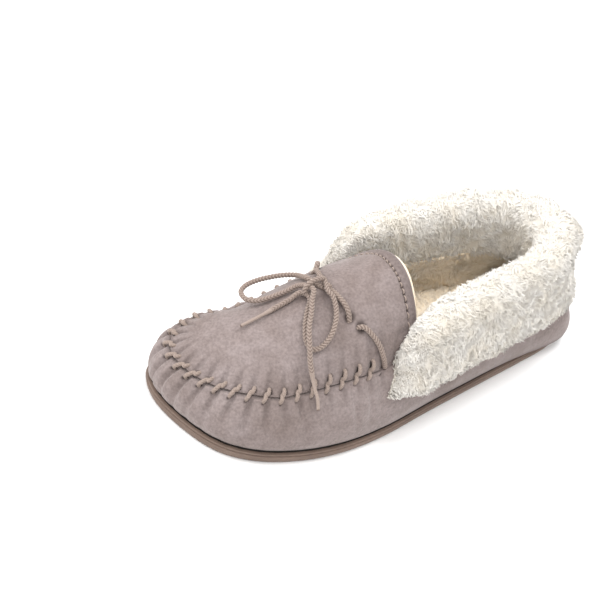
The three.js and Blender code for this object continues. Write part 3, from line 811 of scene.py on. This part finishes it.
def free_edge(xs, stations):
    """The tongue's free edge in an upper_grid: along one side, the rear and the other side."""
    sides = slice(1, 26)  # the rows whose ends are the tongue's sides
    edge_x = np.r_[xs[sides, 0][::-1], xs[0], xs[sides, -1]]
    edge_s = np.r_[stations[sides, 0][::-1], stations[0], stations[sides, -1]]
    return np.column_stack([edge_x, edge_s])


def make_upper(material):
    """The apron and the tongue, one sheet of suede that bends where the tongue begins."""
    across = np.sin(np.linspace(-math.pi / 2, math.pi / 2, 261)) * 0.55 + np.linspace(-1, 1, 261) * 0.45
    xs, stations = upper_grid(across, 44, 100, 90, -0.9)
    gap, run = nearest_on(seam_line[::3, :2], seam_run[::3], xs, LENGTH / 2 - stations)
    edge = free_edge(xs, stations)
    edge_gap, edge_run = nearest_on(edge, run_along(edge), xs, stations)
    top = apron_point(xs, stations)
    seam = smoothstep(stations, SEAM_END - 4, SEAM_END + 6)
    toe = smoothstep(stations, 195, 228)
    pinch = stitch_pinch(run)
    pleat = (1 - pinch * 1.6) * seam * np.exp(-((gap - 3) / (3 + 2.5 * toe)) ** 2)
    holes = hole_shade(run, gap - 1.8, -1.4) * smoothstep(stations, SEAM_END, SEAM_END + 5)
    free = 1 - smoothstep(stations, 142, 149)
    rolled = free * np.exp(-(np.maximum(edge_gap - 2.2, 0) / 1.5) ** 2)
    rolled = rolled * smoothstep(edge_gap, -0.6, 1.6)
    groove = free * np.exp(-((edge_gap - STITCH_ROW) / 0.9) ** 2)
    hole_at = np.abs((edge_run / RIM_STITCH) % 1 - 0.5) * RIM_STITCH
    small = free * np.exp(-(np.hypot(hole_at, edge_gap - STITCH_ROW) / 0.75) ** 4) * (edge_gap < 8)
    row_end = edge_run.max()
    small *= smoothstep(edge_run, 9, 12) * (1 - smoothstep(edge_run, row_end - 19, row_end - 15))
    soft = 0.4 * ripple(top * [1, 0.6, 0.3], 22, 11) + 0.16 * ripple(top, 7, 12)
    soft = soft * smoothstep(gap, 2, 10)
    lip = seam * np.exp(-(gap / 1.8) ** 2) * (1.3 - 0.9 * pinch)
    lace_holes = np.zeros_like(gap)
    for x, s in LACE_HOLES:
        lace_holes += np.exp(-(np.hypot(xs - x, stations - s) / 2.6) ** 4)
    lift = (
        pleat * (0.35 + 0.3 * toe) + soft + lip + rolled - 0.35 * groove
        - 0.9 * holes - 0.5 * small - 0.9 * lace_holes
    )
    lift = np.maximum(lift, -1.0)
    upper = apron_point(xs, stations, -lift)
    lower = apron_point(xs, stations, SUEDE)
    crease = 0.22 * seam * pinch * np.exp(-((gap - 5) / 4) ** 2)
    shade = np.clip(
        0.92 * holes + crease + 0.75 * small + 0.14 * groove + 0.3 * rolled + 0.8 * lace_holes, 0, 1,
    )
    return sheet_between("suede_apron_and_tongue", upper, lower, material, shade)


def bend_at_tongue(made, *nodes):
    made.parent = None
    if "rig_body" in made:
        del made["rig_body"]
    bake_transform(made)
    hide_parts(*nodes)


def make_rim_stitches(material):
    """The short threads of the stitch row inside the tongue's rolled edge."""
    across = np.linspace(-1, 1, 261)
    xs, stations = upper_grid(across, 44, 30, 10, 0.2)
    edge = spline(free_edge(xs, stations)[::6], 0.3)
    way = unit(np.gradient(edge, axis=0))
    inner = edge + np.column_stack([-way[:, 1], way[:, 0]]) * STITCH_ROW
    run = run_along(inner)
    parts = []
    for start in np.arange(RIM_STITCH * 4, run[-1] - 14, RIM_STITCH):
        at = np.linspace(start + 0.1, start + RIM_STITCH - 0.6, 8)
        x, s = np.interp(at, run, inner[:, 0]), np.interp(at, run, inner[:, 1])
        depth = np.array([1.0, 0.3, -0.25, -0.35, -0.35, -0.25, 0.3, 1.0])
        parts.append(tube(apron_point(x, s, depth), 0.36, 8))
    points, faces, tone_and_weave_shade = join(parts)
    tone_and_weave_shade = np.full_like(tone_and_weave_shade, 0.85)
    made = mesh_object("tongue_stitch_row", points, faces, material, {"braid": tone_and_weave_shade}, None)
    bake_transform(made)


def make_whip_stitches(material):
    """Short slanting stitches of lacing that hold the apron's edge to the wrap's."""
    # Each point: the share of the slant, the distance from the seam's ridge, the height above.
    section = (
        (1, 2.9, -2.2), (1, 2.3, 0.1), (0.6, 1.2, 0.9), (0, 0, 1.0), (-0.6, -0.9, 1.0), (-1, -1.6, 0.1),
        (-1, -2.0, -2.2),
    )
    parts = []
    for middle in stitch_places[1:-1]:
        points = []
        for slant, down, out in section:
            one = Rim(np.interp([middle + slant * 1.5], seam_run, seam_u))
            if down > 0:
                n, z = one.wall(1 - down / (one.edge_z - WRAP_BASE) / 1.06, -out - 0.9)
                points.append(one.place(n, z)[0])
            elif down == 0:
                points.append(one.place(one.edge_n - 0.4, one.edge_z + out + 1.0)[0])
            else:
                p = one.place(one.seam + down - one.reach + 0.4, 0.0)[0]
                points.append(apron_point(p[:1], LENGTH / 2 - p[1:2], -out - 0.9)[0])
        path = spline(points, 0.25)
        radius = 1.05 - 0.25 * np.abs(np.linspace(-1, 1, len(path))) ** 3
        parts.append(tube(path, radius, 12, 0.04, 2.4))
    points, faces, tone_and_weave_shade = join(parts)
    tone_and_weave_shade = 0.35 + 0.5 * tone_and_weave_shade
    made = mesh_object("whip_stitches", points, faces, material, {"braid": tone_and_weave_shade})
    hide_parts("whip_thread")


def make_heel_tab(material):
    """The strip that covers the closing seam at the back of the heel, between its edge folds."""
    u = np.linspace(-0.0175, 0.0175, 90)
    rims = Rim(u)
    edge = np.abs(np.linspace(-1, 1, 90))
    thick = 1.0 + 0.5 * np.exp(-((edge - 0.9) / 0.06) ** 2) - 0.8 * smoothstep(edge, 0.95, 1)
    line = smoothstep(edge, 0.86, 0.9) * (1 - smoothstep(edge, 0.9, 0.94))
    shade = np.tile(0.5 * line + 0.4 * smoothstep(edge, 0.97, 1), (40, 1))
    front, back = [], []
    for z in np.linspace(WRAP_BASE + 0.7, HEEL_TAB_TOP, 40):
        n = rims.wall_at(z)
        front.append(rims.place(n + thick + 0.25, z))
        back.append(rims.place(n + 0.05, z))
    made = sheet_between("suede_heel_tab", np.array(front), np.array(back), material, shade)
    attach(made, "shoe")
    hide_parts("heel_tab")


# ---- Wool pile ----

def locks(name, roots, normals, drift, length, radius, seed, material, strands, spread, curl):
    """Tapered, curled strands of wool in locks, leaning along the skin with drift. Their shading
    normals lean towards the skin's own, so that the pile shades softly."""
    draw = np.random.default_rng(seed)
    steps = 3
    sweep = drift - normals * np.sum(drift * normals, -1, keepdims=True)
    count = len(roots)
    lock = np.repeat(np.arange(count), strands)
    n, total = normals[lock], len(lock)
    side = unit(np.cross(n, draw.normal(size=(count, 3))[lock]))
    other = np.cross(n, side)
    way = sweep[lock] + 0.16 * unit(draw.normal(size=(total, 3)))
    reach = (length * draw.uniform(0.75, 1.25, count))[lock] * draw.uniform(0.8, 1.12, total)
    phase = (draw.uniform(0, 2 * math.pi, count))[lock] + draw.normal(0, 0.5, total)
    turns = (draw.uniform(0.6, 1.3, count))[lock] * 2 * math.pi
    start = draw.normal(0, spread, (total, 2))
    t = np.linspace(0, 1, steps)[None, :, None]
    tt = t[..., 0]
    stand = reach[:, None] * (tt - 0.38 * tt**2)
    lean = reach[:, None] * 0.75 * tt**1.6
    wide = curl * tt ** 0.8
    coil = phase[:, None] + turns[:, None] * tt
    gather = 1 - 0.55 * tt
    path = (
        roots[lock][:, None]
        + n[:, None] * stand[..., None]
        + way[:, None] * lean[..., None]
        + side[:, None] * (start[:, :1] * gather + wide * np.cos(coil))[..., None]
        + other[:, None] * (start[:, 1:] * gather + wide * np.sin(coil))[..., None]
    )
    thick = radius * (1 - 0.72 * tt**1.7)[..., None]
    across = unit(np.cross(path[:, -1] - path[:, 0], side))
    up = unit(np.cross(path[:, -1] - path[:, 0], across))
    ring, shading = [], []
    for angle in (0.0, 2 * math.pi / 3, 4 * math.pi / 3):
        out = math.cos(angle) * across[:, None] + math.sin(angle) * up[:, None]
        ring.append(path + thick * out)
        shading.append(np.broadcast_to(unit(0.8 * n[:, None] + 0.4 * out), path.shape))
    points = np.stack(ring, 2)  # strand, step, side
    base = np.arange(total * steps * 3).reshape(total, steps, 3)
    a, b = base[:, :-1], base[:, 1:]
    a2, b2 = np.roll(a, -1, 2), np.roll(b, -1, 2)
    faces = np.concatenate([
        np.stack([a, a2, b2], -1).reshape(-1, 3), np.stack([a, b2, b], -1).reshape(-1, 3),
        base[:, -1], base[:, 0][:, ::-1],
    ])
    along = np.broadcast_to(tt[..., None], (total, steps, 3))
    shading = np.stack(shading, 2).reshape(-1, 3)
    return mesh_object(name, points, faces, material, {"along": along}, normals=shading)


def drift_field(roots, size, seed):
    """Which way the wool drifts, in patches about size mm across."""
    return np.stack([ripple(roots, size, seed + k) for k in (50, 51, 52)], -1)


def cuff_row(rims, row, count, full):
    """One of count rows of the cuff from its hem over the top to its inner edge. full is 1 for the
    face of the pile and 0 for the leather under it, which follows the wall and its top edge."""
    centre = rims.edge_n - SUEDE / 2
    low = cuff_low(rims.s)
    thin = cuff_hem(rims.s)
    middle = rims.edge_z + (cuff_middle(rims.s) - rims.edge_z) * full
    rise = 2 + (cuff_rise(rims.s) - 2) * full
    out = 3 + (cuff_out(rims.s) - 3) * full
    closer = 2.2 * smoothstep(rims.s, 124, 136)
    inn = 3 + (cuff_in(rims.s) + closer - 3) * full
    inside = np.minimum(CUFF_INSIDE, rims.edge_z - 10)
    keys = [
        (rims.wall_at(low) + 0.5, low),
        (rims.wall_at(low + 2) + 0.5 + (thin + 0.6) * full, low + 1.5),
        (rims.wall_at(low + 7) + 0.5 + (4.5 + thin) * full, low + 7),
    ]
    for angle in np.linspace(-0.35, math.pi + 0.2, 9):
        width = out if math.cos(angle) > 0 else inn
        keys.append((centre + width * math.cos(angle), middle + rise * math.sin(angle)))
    keys.append((centre - inn * 0.92, inside + 5))
    keys.append((centre - inn * 0.6 - 0.6, inside))
    n = np.array([k[0] for k in keys])
    z = np.array([k[1] for k in keys])
    place = np.linspace(0, len(keys) - 1.0001, count)[row]
    i = int(place)
    t = place - i
    near = [np.clip(i + k, 0, len(keys) - 1) for k in (-1, 0, 1, 2)]
    weights = (
        -0.5 * t + t * t - 0.5 * t**3, 1 - 2.5 * t * t + 1.5 * t**3,
        0.5 * t + 2 * t * t - 1.5 * t**3, -0.5 * t * t + 0.5 * t**3,
    )
    return [sum(w * line[j] for w, j in zip(weights, near)) for line in (n, z)]


def cuff_grid(count, columns, full=1.0):
    """The cuff's face as points. Its front ends are rounded, and slope back towards the top."""
    share = 0.5 - 0.5 * np.cos(np.linspace(0, math.pi, columns))
    share = 0.35 * share + 0.65 * np.linspace(0, 1, columns)
    grid = []
    for i, f in enumerate(np.linspace(0, 1, count)):
        forward = 1 - smoothstep(f, 0.02, 0.24)
        back = 147 - 8 * smoothstep(f, 0.5, 0.8)
        end = back + (152 - back) * forward
        low, high = u_of_station(end, -1) - 1, u_of_station(end, 1)
        rims = Rim(low + (high - low) * share)
        from_end = np.minimum(share, 1 - share) * outline_length * (high - low)
        near_end = 1 - np.clip(from_end / 9, 0, 1)
        round_off = 0.12 + 0.88 * np.sqrt(np.maximum(1 - near_end**2.4, 0))
        n1, z1 = cuff_row(rims, i, count, full)
        n0, z0 = cuff_row(rims, i, count, 0.0)
        grid.append(rims.place(n0 + (n1 - n0) * round_off, z0 + (z1 - z0) * round_off))
    return np.array(grid)


def make_cuff(base_material, lock_material):
    count, columns = 46, 420
    face = cuff_grid(count, columns)
    leather = cuff_grid(count, columns, 0.0)
    normal = grid_normals(face)
    normal = normal * np.sign(np.sum(normal * (face - leather), -1).mean())
    sides = np.sin(np.linspace(0.05, math.pi - 0.05, count)) ** 0.4
    lumps = 0.9 * ripple(face, 15, 21) + 0.55 * ripple(face, 7, 22) + 0.45 * ripple(face, 3, 23, 20)
    skin = face + normal * ((lumps - 1.7) * sides[:, None])[..., None]
    loops = np.concatenate([skin, leather[::-1]], 0).transpose(1, 0, 2)
    made = wool_sweep("wool_cuff", loops, base_material, 0.45)
    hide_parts("fur_cuff")
    make_cuff_locks(face, skin, normal, lock_material)


def make_cuff_locks(face, skin, normal, material):
    """Locks all over the cuff: shorter at its hem, more at its front ends, and few where these meet."""
    count, columns = face.shape[:2]
    draw = np.random.default_rng(31)
    cell = np.linalg.norm(
        np.cross(face[1:, :-1] - face[:-1, :-1], face[:-1, 1:] - face[:-1, :-1]), axis=-1,
    )
    from_ends = np.minimum(np.arange(columns - 1), np.arange(columns - 1)[::-1]) / columns
    cell = cell * (1 + 2.5 * (1 - smoothstep(from_ends, 0.0, 0.05)))
    cell[:4] *= smoothstep(from_ends, 0.004, 0.02)
    weight = cell.ravel() / cell.sum()
    number = 2040
    for name, seed in (("wool_locks_a", 41), ("wool_locks_b", 42), ("wool_locks_c", 43)):
        pick = draw.choice(len(weight), number, p=weight)
        i, j = pick // (columns - 1), pick % (columns - 1)
        fi, fj = draw.uniform(size=(2, number, 1))
        root = skin[i, j] * (1 - fi) + skin[i + 1, j] * fi
        root = root + (skin[i, j + 1] - skin[i, j]) * fj
        n = normal[i, j]
        drift = drift_field(root, 18, seed) * 0.45 + [0, 0, -0.12]
        near_hem = 1 - smoothstep(i / count, 0.0, 0.12)
        reach = 3.9 * (1 - 0.5 * near_hem)
        made = locks(
            name, root - n * 0.9, n, drift, reach, 0.34, seed, material,
            strands=7, spread=1.45, curl=0.22,
        )


def make_wall_linings(base_material, lock_material):
    for name, node, join_at, side, rows, near, far in (
        ("wool_heel_lining", "quarter_lining", 126, -1, 30, SUEDE + 3.0, SUEDE + 8.5),
        ("wool_toe_lining", "toe_lining", 127, 1, 24, SUEDE + 0.6, SUEDE + 4.6),
    ):
        a, b = u_of_station(join_at, side), u_of_station(join_at, -side)
        u = np.linspace(a - 1 if a > b else a, b, 300)
        rims = Rim(u)
        if node == "quarter_lining":
            top = np.minimum(CUFF_INSIDE, rims.edge_z - 6) + 3
        else:
            clear = 8 * smoothstep(rims.s, 150, 165) - 1
            top = np.minimum(rims.wall(0.84)[1], np.minimum(50, rims.edge_z - 6) + clear)
        outer, inner = [], []
        for f in np.linspace(0, 1, rows):
            z = LINING_BOTTOM + (top - LINING_BOTTOM) * f
            outer.append(rims.place(rims.wall_at(z, near), z))
            inner.append(rims.place(rims.wall_at(z, far), z))
        outer, inner = np.array(outer), np.array(inner)
        normal = grid_normals(inner)
        middle = np.array([0, float(inner[..., 1].mean()), 35])
        normal = normal * np.sign(np.sum(normal * (middle - inner), -1))[..., None]
        bumps = (0.7 * ripple(inner, 8, 61) + 0.4 * ripple(inner, 4, 62))[..., None]
        skin = inner + normal * bumps
        loops = np.concatenate([outer, skin[::-1]], 0).transpose(1, 0, 2)
        made = wool_sweep(name, loops, base_material, 0.25)
        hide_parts(node)
        if node == "quarter_lining":
            scatter_locks("wool_heel_lining_locks", skin, normal, 1900, 3.2, 71, lock_material)


def make_footbed(base_material, lock_material):
    half_way = np.linspace(0.002, 0.498, 200)
    sides = []
    for u in (half_way, 1 - half_way):
        rims = Rim(u)
        low, high = [rims.wall_at(z, SUEDE + 1) for z in FOOTBED]
        sides.append(rims.place(np.minimum(low, high), FOOTBED[1]))
    share = np.linspace(0, 1, 64)[None, :, None]
    skin = sides[0][:, None] * (1 - share) + sides[1][:, None] * share
    under = skin.copy()
    under[..., 2] = FOOTBED[0]
    calm = 1 - np.abs(2 * share[..., 0] - 1) ** 8
    skin[..., 2] += (0.8 * ripple(skin, 9, 64) + 0.5 * ripple(skin, 4, 65) - 0.5) * calm
    loops = np.concatenate([skin, under[:, ::-1]], 1)
    made = wool_sweep("wool_footbed", loops, base_material, 0.4)
    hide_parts("footbed_fleece")
    up = np.zeros_like(skin)
    up[..., 2] = 1
    shown = (slice(3, 124), slice(3, -3))
    scatter_locks("wool_footbed_locks", skin[shown], up[shown], 2100, 3.2, 72, lock_material)


def make_tongue_lining(material):
    """The lining of the apron and tongue. At the tongue it is wider and shows past the rear edge."""
    across = np.linspace(-1, 1, 121)
    xs, stations = upper_grid(across, 30, 50, 40, 5.0)
    free = 1 - smoothstep(stations, 146, 156)
    rear_xs, rear_stations = upper_grid(across, 30, 50, 40, 1.2, rear_out=2.2)
    xs = xs + (rear_xs - xs) * free
    stations = stations + (rear_stations - stations) * free
    upper = apron_point(xs, stations, SUEDE + 0.5 + 0.9 * (1 - free))
    bumps = 0.5 * ripple(upper, 7, 66) + 0.35 * ripple(upper, 3, 67)
    lower = apron_point(xs, stations, SUEDE + 3.8 + 2.2 * (1 - free) + bumps)
    loops = np.concatenate([upper, lower[:, ::-1]], 1)
    made = wool_sweep("wool_tongue_lining", loops, material, 1.0)
    bend_at_tongue(made, "apron_lining", "tongue_lining")


def scatter_locks(name, skin, normal, number, reach, seed, material):
    """Locks spread evenly over a grid of skin."""
    draw = np.random.default_rng(seed)
    i = draw.integers(0, skin.shape[0] - 1, number)
    j = draw.integers(0, skin.shape[1] - 1, number)
    n = normal[i, j]
    root = skin[i, j]
    made = locks(
        name, root - n * 0.6, n, drift_field(root, 14, seed) * 0.8, reach, 0.36, seed, material,
        strands=6, spread=1.5, curl=0.3,
    )


# ---- The whole ----

def dress(node, material):
    made = frame["nodes"][node]
    made.data.materials.clear()
    made.data.materials.append(material)


make_camera()
cord_finish = cord_material()
make_laces(cord_finish)
make_whip_stitches(cord_finish)
make_rim_stitches(cord_finish)

suede = suede_material()
make_wrap(suede)
apron = make_upper(suede)
bend_at_tongue(apron, "apron", "tongue")
make_heel_tab(suede)

rubber = rubber_material()
make_outsole(rubber)

# The cuff's base wool is a darker copy of its locks' wool: painted shade among the locks.
cuff_base_shaded = pile_material("wool_cuff_base", (0.66, 0.625, 0.57), (0.69, 0.66, 0.61))
cuff_locks = pile_material("wool_cuff_locks", (0.83, 0.79, 0.735), (0.86, 0.83, 0.785))
make_cuff(cuff_base_shaded, cuff_locks)
# The lining's base wool is a little darker than its locks' wool: painted shade among the locks.
lining_base_shaded = pile_material("wool_lining_base", (0.92, 0.78, 0.6), (0.94, 0.83, 0.67))
lining_locks = pile_material("wool_lining_locks", (0.95, 0.82, 0.66), (0.97, 0.87, 0.73))
make_wall_linings(lining_base_shaded, lining_locks)
make_footbed(lining_base_shaded, lining_locks)
make_tongue_lining(lining_base_shaded)

# Near-black foam: partly the real black foam, partly painted shade in the gap between the upper and the
# sole.
shade_and_black = plain_material("black_foam", (0.008, 0.007, 0.006), (0.02, 0.016, 0.014), 0.95, 0.002)
dress("midsole", shade_and_black)
dress("footbed_foam", shade_and_black)
board = plain_material("fibre_board", (0.36, 0.26, 0.15), (0.46, 0.35, 0.21), 0.9, 0.003, (1, 0.3, 1))
dress("insole_board", board)
dress("heel_counter", board)
collar = plain_material("collar_cord", (0.2, 0.14, 0.12), (0.36, 0.28, 0.24), 0.85, 0.0012, (1, 1, 3))
dress("collar_lace", collar)

make_studio()
